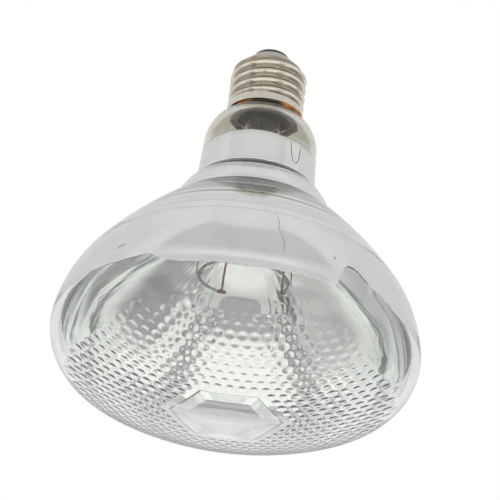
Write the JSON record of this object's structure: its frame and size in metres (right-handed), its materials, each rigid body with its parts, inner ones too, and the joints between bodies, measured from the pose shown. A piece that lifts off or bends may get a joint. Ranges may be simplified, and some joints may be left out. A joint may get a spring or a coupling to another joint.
{
  "type": "infrared heat lamp bulb",
  "caption": "Reflector heat bulb: mirrored flared glass bowl, dimpled front lens with a hexagonal window, round-thread screw cap, coiled filament on wire supports.",
  "frame": {"origin": "on the lamp's axis, at the lower edge of the screw cap's smooth skirt", "axes": "+Z along the lamp's axis towards the cap's contact, so the lens faces down; +X and +Y square to it, with two sides of the lens's hexagon parallel to X"},
  "size_m": [0.1214, 0.1214, 0.143],
  "materials": {
    "nickel_plate": "nickel plate on rolled sheet, warm grey, satin",
    "black_glass": "opaque black glass, glossy",
    "solder": "grey solder, dull",
    "cement": "baked orange-brown cement, matt",
    "clear_glass": "clear hard glass, smooth",
    "mirror_film": "vapour-deposited aluminium film, mirror bright",
    "lens_glass": "clear pressed glass with small dimples on its inner face",
    "lead_wire": "nickel wire with heat tint",
    "copper_wire": "copper wire, oxidised",
    "tungsten": "drawn tungsten coil, dark grey",
    "support_metal": "thin molybdenum wire, grey"
  },
  "bodies": {
    "root": {"screw_shell": "nickel_plate", "cap_insulator": "black_glass", "contact_eyelet": "nickel_plate", "contact_solder": "solder", "side_solder": "solder", "basing_cement": "cement", "reflector_glass": "clear_glass", "mirror_coating": "mirror_film", "front_lens": "lens_glass", "stem_glass": "clear_glass", "inner_lead_left": "lead_wire", "inner_lead_right": "lead_wire", "outer_lead_centre": "copper_wire", "outer_lead_side": "copper_wire", "clamp_left": "lead_wire", "clamp_right": "lead_wire", "filament": "tungsten", "support_wire_left": "support_metal", "support_wire_front": "support_metal", "support_wire_right": "support_metal"}
  },
  "joints": []
}
